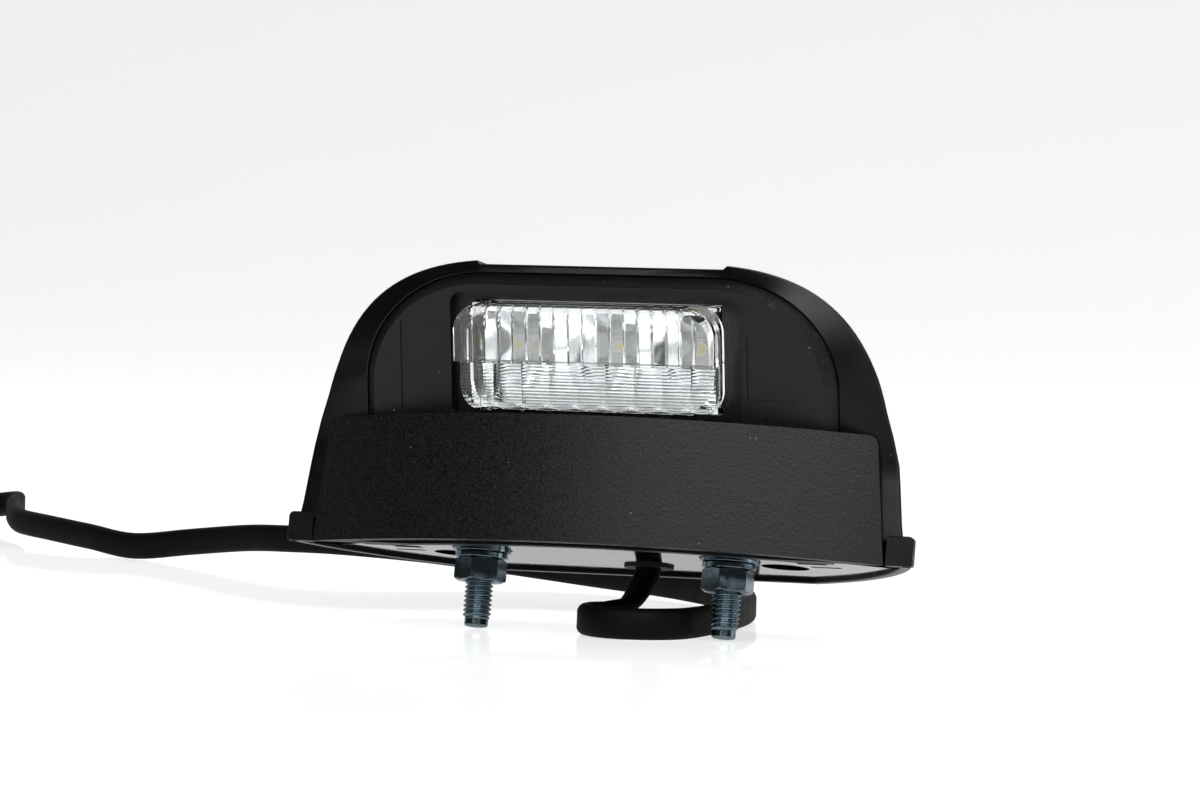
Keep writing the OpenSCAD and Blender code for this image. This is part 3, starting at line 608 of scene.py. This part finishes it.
@dataclass
class Hood:
    """Black hood: a lofted shell with a leaning rim around the housing, and a skirt at its foot."""

    half: float = 55.1
    height: float = 48.9
    flat_half: float = 21.6
    flat_depth: float = 0.6
    wall: float = 2.0
    leg_y: float = -6.4
    rear: float = 25.6
    outline_y: float = -24.0
    outline_r: float = 57.9
    foot: float = 4.2
    rim_z: float = 17.02
    opening_half: float = 42.65
    skirt_half: float = 56.5
    skirt_r: float = 59.3
    skirt_rear: float = 27.0
    skirt_height: float = 5.1
    skirt_wall: float = 1.8
    ledge: float = 3.75
    band_lean: float = 1.9
    band_rise: float = 14.0
    back_foot: float = 4.2
    channel: float = 2.5
    rim_rounding: float = 0.5
    face_proud: float = 2.3

    def rim_y(self, z: Array) -> Array:
        """Give the rim's place at a height: upright legs, then the lean of the face."""
        return self.leg_y - np.maximum(0, z - self.rim_z) * tan(FACE_LEAN)

    def front(self) -> Array:
        """Give the right half of the front outline.

        The side rises straight to a knee; a cubic curve of Bezier form then turns it into the shoulder,
        where a small step leads to the shallow flat.

        Returns:
            The points from foot to top, as x and z.
        """
        half = self.half
        low = [(half, 0.0), (half - 0.45, 3.5), (half - 0.9, 7), (half - 1.3, 10.5), (half - 1.7, 14),
               (half - 2.1, self.rim_z), (half - 3.2, 21.5)]
        t = np.linspace(0, 1, 25)[:, None]
        knee = np.array([half - 4.5, self.rim_z + 8.7])
        top = np.array([self.flat_half + 1.1, self.height])
        b, c = knee + [-3.7, 15.6], top + [15, -1.2]
        arc = (1 - t) ** 3 * knee + 3 * t * (1 - t) ** 2 * b + 3 * t**2 * (1 - t) * c + t**3 * top
        flat = [[self.flat_half + 0.55, self.height - 0.3], [self.flat_half, self.height],
                [self.flat_half / 2, self.height]]
        return np.vstack([low, arc, flat])

    def lean(self, z: Array) -> Array:
        """Give how far the band's outer edge leans back at a height."""
        return self.band_lean * np.clip((z - self.rim_z) / self.band_rise, 0, 1)

    def station(self, s: float, wall: float, front_in: float) -> Array:
        """Give one section of the outer or inner surface.

        The foot follows the back outline's arc and the top falls along a superellipse of power 4.

        Args:
            s: Place from front (0) to back (1).
            wall: Distance inside the outer surface.
            front_in: Distance of the first section behind the rim.

        Returns:
            The points of both halves, right foot to left foot.
        """
        outline = self.front()
        y_foot = self.leg_y + s * (self.rear - self.leg_y)
        half_foot = min(self.half, sqrt(self.outline_r**2 - (y_foot - self.outline_y) ** 2))
        kx = (half_foot - wall) / self.half
        rise = (self.height - self.back_foot) * sqrt(1 - (0.975 * s) ** 4)
        kz = (self.back_foot + rise - wall) / self.height
        dip = self.flat_depth * max(0.2, 1 - 2.5 * s)
        z = outline[:, 1] * kz
        z[-2:] -= dip
        z[-3] -= dip / 2
        z = np.maximum(z, self.foot + 0.05 * np.arange(len(z)))
        z[0] = self.foot
        rim = self.rim_y(outline[:, 1] * (self.height - wall) / self.height)
        back = self.lean(outline[:, 1]) if wall == 0 else front_in
        y = (1 - s) * (rim + back) + s * (self.rear - wall)
        return self.both(np.column_stack([outline[:, 0] * kx, y, z]))

    @staticmethod
    def both(half: Array) -> Array:
        """Add the mirrored left half to a right half, from its top down."""
        return np.vstack([half, half[::-1] * [-1, 1, 1]])

    def opening(self, back: float, grow: float) -> Array:
        """Give the edge of the opening, with as many points as a section.

        Args:
            back: Distance behind the rim.
            grow: Distance outside the opening's edge.

        Returns:
            The points of both halves, right foot to left foot.
        """
        half = self.opening_half + grow
        depth = self.face_proud * cos(FACE_LEAN) ** 2 + back * cos(FACE_LEAN)
        legs = [[half, self.leg_y + back, z] for z in (self.foot, 6, 8, 10.5, 14, self.rim_z)]
        a = np.radians(np.linspace(0, 90, 25))
        corner_x, corner_v = 21.0, 6.2
        width, height = self.opening_half - corner_x + grow, 19.15 + grow
        arc = on_face(corner_x + width * np.cos(a), depth, corner_v + height * np.sin(a))
        top = on_face(np.array([16.0, 12.0, 6.0]), depth, corner_v + height)
        return self.both(np.vstack([legs, on_face(half, depth, 0.6)[None], arc, top]))

    def build(self, plastic: Material) -> Object:
        """Join the sections, the rim with its rounded edges, the channel and the skirt.

        The shell is left open along its foot, which is hidden inside the skirt.

        Args:
            plastic: Material of the hood.

        Returns:
            The hood's object.
        """
        outer = [self.station(v, 0, 0) for v in np.linspace(1, 0.12, 34)]
        edge = self.station(0, 0, 0)
        edge[:, 1] = self.rim_y(edge[:, 2])
        middle = np.array([0, 0, 22.0])
        inward = unit((middle - edge) * [1, 0, 1])
        rounding = [edge + inward * (self.rim_rounding * (1 - cos(a)))
                    + np.outer(self.lean(edge[:, 2]) + self.rim_rounding * (1 - sin(a)), [0, 1, 0])
                    for a in np.radians([0, 30, 60, 90])]
        for ring in rounding:
            ring[[0, -1], 2] = self.foot
        lip = [self.opening(0, 0.25), self.opening(0.07, 0.07), self.opening(0.25, 0),
               self.opening(self.channel, 0)]
        inner = [self.station(v, self.wall, self.channel) for v in np.linspace(0, 1, 15)]
        loops = np.array([*outer, *rounding, *lip, *inner])
        rows, count = loops.shape[:2]
        faces = grid_faces(rows, count)
        half = count // 2
        for base in (0, (rows - 1) * count):
            faces += [[base + j, base + j + 1, base + count - 2 - j, base + count - 1 - j]
                      for j in range(half - 1)]
        points = loops.reshape(-1, 3)
        skirt, skirt_faces = self.skirt(len(points))
        return make_piece("hood_shell", np.vstack([points, skirt]), faces + skirt_faces, plastic,
                          32)

    def foot_path(self, inset: float) -> Array:
        """Give the skirt's open outline, from its right front end round the back to its left front end.

        Args:
            inset: Distance inside the outer surface.

        Returns:
            The points as x and y.
        """
        r = self.skirt_r - inset
        half, rear = self.skirt_half - inset, self.skirt_rear - inset
        first = asin(min(1.0, half / r))
        last = acos((rear - self.outline_y) / r)
        a = np.linspace(first, last, 40)
        arc = np.column_stack([r * np.sin(a), self.outline_y + r * np.cos(a)])
        front = [[half, self.leg_y + 0.2]]
        flat = [[arc[-1, 0] * f, rear] for f in (0.96, 0.6, 0.2)]
        right = np.vstack([front, arc, flat])
        return np.vstack([right, right[::-1] * [-1, 1]])

    def skirt(self, start: int) -> tuple[Array, list[list[int]]]:
        """Give the skirt's ring with its ledge and its two front walls.

        Args:
            start: Number of its first point in the piece.

        Returns:
            Its points and faces.
        """
        top, wall = self.skirt_height, self.skirt_wall
        profile = [(wall, 0.15), (wall - 0.15, 0), (0.3, 0), (0.08, 0.08), (0, 0.3), (0, top - 0.7),
                   (0.12, top - 0.42), (0.45, top - 0.1), (0.75, top), (wall + 2, top),
                   (wall + 2, self.ledge), (wall, self.ledge)]
        paths = [np.column_stack([self.foot_path(i), np.full(len(self.foot_path(i)), z)]) for i, z in profile]
        rings = np.array(paths).transpose(1, 0, 2)
        points = [rings.reshape(-1, 3)]
        faces = tube_faces(len(rings), len(profile), start)
        place = start + len(points[0])
        half = self.skirt_half
        middle = np.array([54.2, 2.5])
        shape = np.array([(51.8, 0.1), (51.9, 0), (half - 0.25, 0), (half, 0.3), (half, top - 0.7),
                          (half - 0.12, top - 0.42), (half - 0.45, top - 0.1), (half - 0.75, top),
                          (51.8, top)])
        n = len(shape)
        for side in (1, -1):
            for inset, y in ((0.15, -6.5), (0, -6.35), (0, -4.9)):
                ring = shape - unit(shape - middle) * inset
                points.append(np.column_stack([side * ring[:, 0], np.full(n, y), ring[:, 1]]))
            faces += tube_faces(3, n, place)
            place += 3 * n
        return np.vstack(points), faces


# The lens


@dataclass
class Lens:
    """Clear lens: a fluted block over a ribbed one, hollow behind, on a square neck."""

    half: float = 23.3
    foot: float = 2.2
    step: float = 10.9
    top: float = 21.0
    flute_front: float = -6.2
    rib_front: float = -3.3
    foot_corner: float = 4.4
    top_corner: float = 4.8
    flute_pitch: float = 2.5
    flute_rise: float = 0.1
    groove_rise: float = 0.22
    rib_pitch: float = 0.55
    rib_rise: float = 0.06
    column_pitch: float = 5.08
    column_rise: float = 0.55
    plain: float = 2.9
    wall: float = 1.3
    neck_half: float = 22.0
    neck_foot: float = 2.5
    neck_height: float = 18.0
    hollow_half: float = 20.9
    hollow_foot: float = 3.3
    hollow_height: float = 16.1
    neck_back: float = 5.8

    def half_width(self, v: Array, inset: float) -> Array:
        """Give half the lens's width at a height, with round lower and upper corners.

        Args:
            v: Height along the face.
            inset: Distance inside the outline.

        Returns:
            Half the width at each height.
        """
        half, foot, top = self.half - inset, self.foot + inset, self.top - inset
        low = np.clip(foot + self.foot_corner - v, 0, self.foot_corner)
        high = np.clip(v - (top - self.top_corner), 0, self.top_corner)
        cut_low = self.foot_corner - np.sqrt(self.foot_corner**2 - low**2)
        cut_high = self.top_corner - np.sqrt(self.top_corner**2 - high**2)
        return half - cut_low - cut_high

    def sheet(self, rows: Array, across: Array, depth: Callable[[Array, Array, Array], Array],
              inset: float) -> Array:
        """Give a grid of points over the lens's outline.

        Args:
            rows: Heights with the number of the block they belong to.
            across: Places across the width, from -1 to 1.
            depth: Depth at x, height and block.
            inset: Distance inside the outline.

        Returns:
            The grid of points in millimetres.
        """
        height = self.top - self.foot
        v = self.foot + inset + (rows[:, 0] - self.foot) * (height - 2 * inset) / height
        x = across[None, :] * self.half_width(v, inset)[:, None]
        v = np.repeat(v[:, None], len(across), 1)
        return on_face(x, depth(x, v, rows[:, 1:2] + 0 * x), v)

    def front_depth(self, x: Array, v: Array, block: Array) -> Array:
        """Give the front's depth: round flutes on the upper block, fine ribs across the lower one.

        With u the distance from a flute's middle in half pitches, the depth is the flute's rise times u
        squared, and a narrow groove joins two flutes. A rib's depth is its rise times the square of the same
        distance along the height. The foot is rounded off, further up between two columns than at a column.

        Args:
            x: Sideways distance.
            v: Height along the face.
            block: 1 on the upper block, 0 on the lower one.

        Returns:
            The depth behind the face.
        """
        span = self.half - self.plain
        u = (x / self.flute_pitch) % 1.0 * 2 - 1
        groove = self.groove_rise * np.clip((np.abs(u) - 0.78) / 0.22, 0, 1) ** 2
        flute = np.where(np.abs(x) < span, self.flute_rise * u**2 + groove, 0.0)
        edge = 0.35 * np.clip(1 - (self.top - v) / 0.5, 0, 1) ** 2
        rib = self.rib_rise * ((v - self.foot) / self.rib_pitch % 1.0 * 2 - 1) ** 2
        column = (x / self.column_pitch + 0.5) % 1.0 * 2 - 1
        rounded = 1.2 * np.clip(1 - (v - self.foot) / (0.8 + 0.9 * column**2), 0, 1) ** 2
        return np.where(block > 0.5, self.flute_front + flute + edge, self.rib_front + rib + rounded)

    def back_depth(self, x: Array, v: Array, block: Array) -> Array:
        """Give the inner surface's depth: round columns behind the lower block, smooth behind the flutes."""
        u = (x / self.column_pitch + 0.5) % 1.0 * 2 - 1
        return np.where(block > 0.5, self.flute_front + 2.4, self.rib_front + 1.7 + self.column_rise * u**2)

    def build(self, clear: Material) -> Object:
        """Join the front, the sides, the neck and the inner surface into one closed skin.

        Args:
            clear: Material of the lens.

        Returns:
            The lens's object.
        """
        across = np.concatenate([np.linspace(-1, -0.885, 6)[:-1], np.linspace(-0.885, 0.885, 311),
                                 np.linspace(0.885, 1, 6)[1:]])
        low = np.linspace(self.foot, self.step, 108)
        high = np.concatenate([[self.step, 14.0], np.linspace(16.6, 20.6, 9), np.linspace(20.8, self.top, 8)])
        rows = np.vstack([np.column_stack([low, 0 * low]), np.column_stack([high, 0 * high + 1])])
        front = self.sheet(rows, across, self.front_depth, 0.0)
        back = self.sheet(rows, across, self.back_depth, self.wall)
        m, n = front.shape[:2]
        # The border's rows and columns: along the foot, up the right side, back along the top, down the left
        i = np.concatenate([np.zeros(n, int), np.arange(1, m), np.full(n - 1, m - 1),
                            np.arange(m - 2, 0, -1)])
        j = np.concatenate([np.arange(n), np.full(m - 1, n - 1), np.arange(n - 2, -1, -1),
                            np.zeros(m - 2, int)])
        side, v = across[j], rows[i, 0]
        share = (v - self.foot) / (self.top - self.foot)
        outline_x = side * self.half_width(v, 0.0)
        neck_x, neck_v = self.neck_half * side, self.neck_foot + self.neck_height * share
        hollow_x, hollow_v = self.hollow_half * side, self.hollow_foot + self.hollow_height * share
        rings = [on_face(outline_x, -0.3, v), on_face(outline_x * 0.995, -0.2, v),
                 on_face(neck_x, -0.2, neck_v), on_face(neck_x, self.neck_back, neck_v),
                 on_face(hollow_x, self.neck_back, hollow_v)]
        points = np.vstack([front.reshape(-1, 3), back.reshape(-1, 3), *rings])
        faces = grid_faces(m, n) + grid_faces(m, n, m * n)
        edge = i * n + j
        steps = 2 * m * n + np.arange(len(rings) * len(edge)).reshape(len(rings), -1)
        chain = [edge, *steps, m * n + edge]
        for first, second in zip(chain[:-1], chain[1:]):
            faces += np.column_stack([first, np.roll(first, -1), np.roll(second, -1), second]).tolist()
        obj = make_piece("lens_moulding", points, faces, clear, 22)
        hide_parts("lens")
        return obj


# Fasteners


class Side(Enum):
    """Side of the lamp."""

    LEFT = -1
    RIGHT = 1

    @property
    def label(self) -> str:
        """Give the side's name as the parts use it."""
        return self.name.lower()


def circle(radius: float, angles: Array, z: float) -> Array:
    """Give a ring of points at a height."""
    return np.column_stack([radius * np.cos(angles), radius * np.sin(angles), np.full(len(angles), z)])


@dataclass
class Stud:
    """Threaded stud with its nut and washers, sizes in millimetres."""

    side: Side
    spacing: float = 45.0
    crest: float = 2.45
    root: float = 2.05
    pitch: float = 0.8
    tip: float = -13.0
    thread_end: float = -11.6
    phase: float = 0.0

    def axis(self) -> Array:
        """Give the place of the stud's axis."""
        return np.array([self.side.value * self.spacing / 2, 0, 0])

    def build_stud(self, zinc: Material) -> Object:
        """Make the stud: the radius follows a truncated tooth that climbs one pitch a turn.

        Args:
            zinc: Material of the stud.

        Returns:
            The stud's object.
        """
        columns = 40
        a = np.linspace(0, 2 * pi, columns, endpoint=False)
        z = np.arange(self.tip + 0.35, 0.2, 0.07)
        climb = z[:, None] - a[None, :] * self.pitch / (2 * pi)
        tooth = np.abs((climb / self.pitch + self.phase) % 1.0 * 2 - 1)
        radius = self.root + (self.crest - self.root) * np.clip(tooth * 1.5 - 0.2, 0, 1)
        fade = np.clip((z - self.thread_end) / 0.5, 0, 1)[:, None]
        radius = radius * fade + self.root * (1 - fade)
        rings = [circle(r, a, h) for r, h in zip(radius, z)]
        tip = self.tip
        ends = [circle(r, a, h) for r, h in ((1.2, tip), (1.75, tip + 0.1), (1.98, tip + 0.24))]
        top = [circle(self.crest, a, h) for h in (0.3, 3.7)]
        loops = [*ends, *rings, *top]
        points = np.vstack(loops)
        h = np.radians(np.arange(6) * 60 + 30)
        head = [circle(r, h, z) for r, z in ((4.3, 3.6), (4.61, 3.9), (4.61, 6.8), (4.3, 7.1))]
        faces = tube_faces(len(loops), columns) + tube_faces(len(head), 6, len(points))
        name = self.side.label
        obj = make_piece(f"threaded_stud_{name}", np.vstack([points, *head]) + self.axis(), faces, zinc,
                         50)
        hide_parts(f"stud_{name}")
        return obj

    def build_spring_washer(self, zinc: Material) -> Object:
        """Make the split spring washer: one coil of a rounded square wire that climbs a little.

        Args:
            zinc: Material of the washer.

        Returns:
            The washer's object.
        """
        cut = radians(200 if self.side is Side.RIGHT else 150)
        a = np.linspace(cut + 0.06, cut + 2 * pi - 0.06, 73)
        shape = np.array([(2.7, 0.12), (2.82, 0), (4.45, 0), (4.58, 0.12), (4.58, 0.83), (4.45, 0.95),
                          (2.82, 0.95), (2.7, 0.83)])
        climb = np.linspace(-1.1, -0.96, len(a))
        rings = [np.column_stack([shape[:, 0] * cos(t), shape[:, 0] * sin(t), shape[:, 1] + c])
                 for t, c in zip(a, climb)]
        faces = tube_faces(len(rings), len(shape))
        name = self.side.label
        points = np.vstack(rings) + self.axis()
        obj = make_piece(f"split_washer_{name}", points, faces, zinc, 40)
        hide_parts(f"spring_washer_{name}")
        return obj

    def build(self, zinc: Material) -> list[Object]:
        """Make the stud, both washers and the nut."""
        name = self.side.label
        return [self.build_stud(zinc), self.build_spring_washer(zinc),
                soft_copy(f"flat_washer_{name}", f"plain_washer_{name}", zinc, 0.12),
                soft_copy(f"nut_{name}", f"hex_nut_{name}", zinc, 0.1)]


# Stage


@dataclass
class Stage:
    """Tilted white surface that the lamp rests on, its sweep, the lights and the camera."""

    focal_mm: float = 150.0
    camera_mm: Triple = (285.234, -804.552, -90.760)
    right: Triple = (0.941965, 0.325788, 0.081025)
    up: Triple = (-0.030965, -0.156008, 0.987270)
    forward: Triple = (-0.334281, 0.932483, 0.136866)
    # The surface in metres: its run in front, its flat behind, its bend's radius, its top, half its width
    floor_front: float = 2.2
    floor_flat: float = 0.9
    floor_bend: float = 0.9
    floor_top: float = 4.0
    floor_half: float = 4.0

    def build_camera(self) -> None:
        """Set the camera at the photograph's place, turn and field of view."""
        camera = bpy.data.cameras.new("camera")
        camera.lens = self.focal_mm
        camera.sensor_width = 36.0
        camera.clip_start = 0.01
        camera.clip_end = 30.0
        obj = bpy.data.objects.new("camera", camera)
        bpy.context.scene.collection.objects.link(obj)
        turn = Matrix((self.right, self.up, [-c for c in self.forward])).transposed().to_4x4()
        obj.matrix_world = Matrix.Translation(Vector(self.camera_mm) * MM) @ turn
        bpy.context.scene.camera = obj

    def build_floor(self) -> None:
        """Make the surface: flat under the lamp, curved up far behind it, and clear from its other side."""
        flat, bend = self.floor_flat, self.floor_bend
        run = [(-self.floor_front, 0.0), (flat, 0.0)]
        run += [(flat + bend * sin(a), bend - bend * cos(a)) for a in np.radians(np.arange(6, 91, 6))]
        run.append((flat + bend, self.floor_top))
        start = np.array([0, TOUCH_Y, TOUCH_Z]) * MM
        rings = [[start + along * FLOOR_BACK + rise * FLOOR_UP + np.array([x, 0, 0])
                  for x in (-self.floor_half, self.floor_half)] for along, rise in run]
        mesh = bpy.data.meshes.new("surface")
        mesh.from_pydata([tuple(p) for ring in rings for p in ring], [], grid_faces(len(rings), 2))
        mesh.shade_smooth()
        material = bpy.data.materials.new("White acrylic sheet")
        material.use_nodes = True
        tree = material.node_tree
        tree.nodes.clear()
        glow = self.seen_strength(tree, 0.22, {"Is Camera Ray": 0.45, "Is Transmission Ray": 0.76})
        shader = add_node(tree, "BsdfPrincipled",
                          {"Base Color": (0.8, 0.8, 0.805, 1), "Roughness": 0.06, "IOR": 1.4,
                           "Specular IOR Level": 0.12, "Emission Color": (1, 1, 1, 1),
                           "Emission Strength": glow})
        side = add_node(tree, "NewGeometry")
        clear = add_node(tree, "BsdfTransparent")
        one_sided = add_node(tree, "MixShader",
                             {0: side.outputs["Backfacing"], 1: shader.outputs["BSDF"],
                              2: clear.outputs["BSDF"]})
        add_node(tree, "OutputMaterial", {"Surface": one_sided.outputs["Shader"]})
        mesh.materials.append(material)
        obj = bpy.data.objects.new("surface", mesh)
        bpy.context.scene.collection.objects.link(obj)

    @staticmethod
    def seen_strength(tree: NodeTree, plain: float, seen: dict[str, float]) -> NodeSocket:
        """Give a strength that differs where the camera or the lens sees the surface.

        Args:
            tree: Node tree that gets the nodes.
            plain: Strength for all other rays.
            seen: What is added for each kind of ray.

        Returns:
            The socket with the strength.
        """
        path = add_node(tree, "LightPath")
        total: float | NodeSocket = plain
        for kind, share in seen.items():
            total = add_node(tree, "Math", {0: path.outputs[kind], 1: share, 2: total},
                             operation="MULTIPLY_ADD").outputs[0]
        return total

    @staticmethod
    def build_light(name: str, place: Triple, target: Triple,
                    size: tuple[float, float], power: float,
                    colour: Triple = (1, 1, 1)) -> None:
        """Add a soft rectangular light.

        Args:
            name: Name of the light.
            place: Place in metres.
            target: Point that it faces, in metres.
            size: Width and height in metres.
            power: Power in watts.
            colour: Colour of the light.
        """
        light = bpy.data.lights.new(name, "AREA")
        light.shape = "RECTANGLE"
        light.size, light.size_y = size
        light.energy = power
        light.color = colour
        obj = bpy.data.objects.new(name, light)
        bpy.context.scene.collection.objects.link(obj)
        direction = Vector(target) - Vector(place)
        obj.matrix_world = Matrix.Translation(place) @ direction.to_track_quat("-Z", "Y").to_matrix().to_4x4()

    def build_lights(self) -> None:
        """Add the sky and three soft lights."""
        world = bpy.data.worlds.new("studio")
        bpy.context.scene.world = world
        world.use_nodes = True
        tree = world.node_tree
        tree.nodes.clear()
        glow = self.seen_strength(tree, 0.03, {"Is Camera Ray": 0.87, "Is Transmission Ray": 0.97})
        sky = add_node(tree, "Background", {"Color": (1, 1, 1, 1), "Strength": glow})
        add_node(tree, "OutputWorld", {"Surface": sky.outputs["Background"]})
        middle = (0.0, 0.0, 0.02)
        self.build_light("front", (0.34, -1.1, 0.58), middle, (1.62, 0.75), 11.6)
        self.build_light("top", (0.2, 0.3, 0.9), middle, (0.9, 0.6), 3.0)
        self.build_light("right", (0.95, 0.25, 0.42), middle, (0.35, 0.7), 1.7, (0.8, 0.91, 1.0))
        bpy.context.scene.view_settings.view_transform = "Standard"


# Carried-over CAD nodes and their finishes


@dataclass
class Carried:
    """CAD nodes that keep their solids and get a finish."""

    finish: Finish
    nodes: tuple[str, ...]

    def dress(self) -> None:
        """Put the finish on each node."""
        material = self.finish.build()
        for name in self.nodes:
            mesh = frame["nodes"][name].data
            mesh.materials.clear()
            mesh.materials.append(material)


CARRIED = (
    Carried(PLATED, ("reflector",)),
    Carried(LAMINATE, ("circuit_board",)),
    Carried(PHOSPHOR, ("led_left", "led_middle", "led_right")),
    Carried(EPOXY, ("driver_chip", "diode")),
    Carried(FERRITE, ("inductor",)),
    Carried(CERAMIC, ("capacitor",)),
    Carried(ZINC, ("board_screw_left", "board_screw_right", "plate_screw_left", "plate_screw_right")),
    Carried(RUBBER, ("grommet",)),
    Carried(SEALANT, ("potting",)),
    Carried(SHEATH, ("inner_sheath",)),
    Carried(RED_PVC, ("inner_core_plus", "end_core_plus")),
    Carried(BLACK_PVC, ("inner_core_minus", "end_core_minus")),
    Carried(NYLON, ("coil_tie",)),
)


def main() -> None:
    """Build the camera, the lead, the other pieces and the stage."""
    logging.basicConfig(level=logging.INFO, format="%(message)s")
    stage = Stage()
    stage.build_camera()
    with_lead = [frame["nodes"][n] for n in ("coil_tie", "end_core_plus", "end_core_minus")]
    Lead().build(SHEATH.build(), with_lead)
    for carried in CARRIED:
        carried.dress()
        LOG.info("dressed: %s", ", ".join(carried.nodes))
    hood = Hood().build(HOOD_PLASTIC.build())
    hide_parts("hood")
    soft_copy("housing", "housing_moulding", HOUSING_PLASTIC.build(), 0.45, 3)
    soft_copy("base_plate", "base_moulding", BASE_PLASTIC.build(), 0.2)
    Lens().build(CLEAR_ACRYLIC.build())
    zinc = ZINC.build()
    for side in Side:
        Stud(side, phase=0.3 if side is Side.LEFT else 0.75).build(zinc)
    for obj in bpy.data.objects:
        if obj.type == "MESH" and not obj.hide_render:
            LOG.info("%s: %d faces", obj.name, len(obj.data.polygons))
    stage.build_floor()
    stage.build_lights()


if __name__ == "__main__":
    main()
